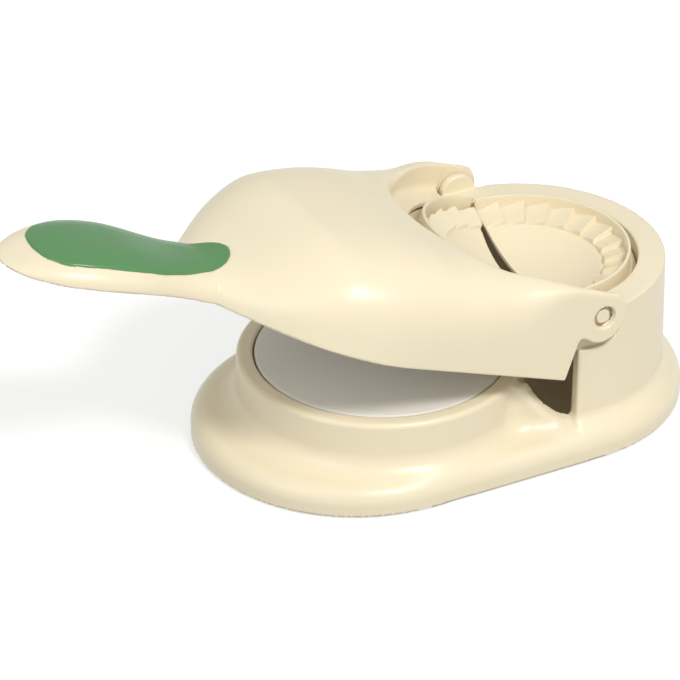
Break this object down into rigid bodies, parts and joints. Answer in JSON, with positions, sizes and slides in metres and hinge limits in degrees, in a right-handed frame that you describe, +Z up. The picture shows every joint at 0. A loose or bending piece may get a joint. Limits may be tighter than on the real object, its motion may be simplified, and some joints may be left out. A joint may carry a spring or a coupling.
{
  "type": "dumpling press",
  "caption": "Hand press for filled dough: round platform, tower with a fluted folding mould half, and one wide lever that presses and then folds over.",
  "frame": {"origin": "centre of the foot on the table plane", "axes": "+X from the handle to the tower, +Y away from the viewer, +Z up"},
  "size_m": [0.3022, 0.1366, 0.1245],
  "materials": {
    "cream_plastic": "satin moulded",
    "lever_plastic": "satin moulded",
    "mould_plastic": "satin moulded",
    "pin_plastic": "satin moulded",
    "cover_plastic": "satin moulded",
    "white_plastic": "satin moulded",
    "green_grip": "soft semi-gloss",
    "foot_rubber": "matt",
    "screw_steel": "plain"
  },
  "bodies": {
    "base": {"base_shell": "cream_plastic", "dough_plate": "white_plastic", "fixed_mould": "cream_plastic", "fixed_mould_screws": "screw_steel", "near_hinge_pin": "pin_plastic", "far_hinge_pin": "pin_plastic", "bottom_cover": "cover_plastic", "bottom_cover_screws": "screw_steel", "foot_near_left": "foot_rubber", "foot_near_right": "foot_rubber", "foot_far_left": "foot_rubber", "foot_far_right": "foot_rubber", "foot_middle": "foot_rubber"},
    "lever": {"lever_shell": "lever_plastic", "moving_mould": "mould_plastic", "moving_mould_screws": "screw_steel", "grip_inlay": "green_grip", "under_cover": "cover_plastic", "under_cover_screws": "screw_steel", "presser_disc": "white_plastic", "presser_screws": "screw_steel", "handle_cover": "cover_plastic", "handle_cover_screws": "screw_steel"}
  },
  "joints": [
    {"name": "lever_hinge", "type": "hinge", "parent": "base", "child": "lever", "pos_m": [0.0408, 0, 0.0642], "axis": [0, 1, 0], "range_deg": [-19.9, 160.1]}
  ]
}
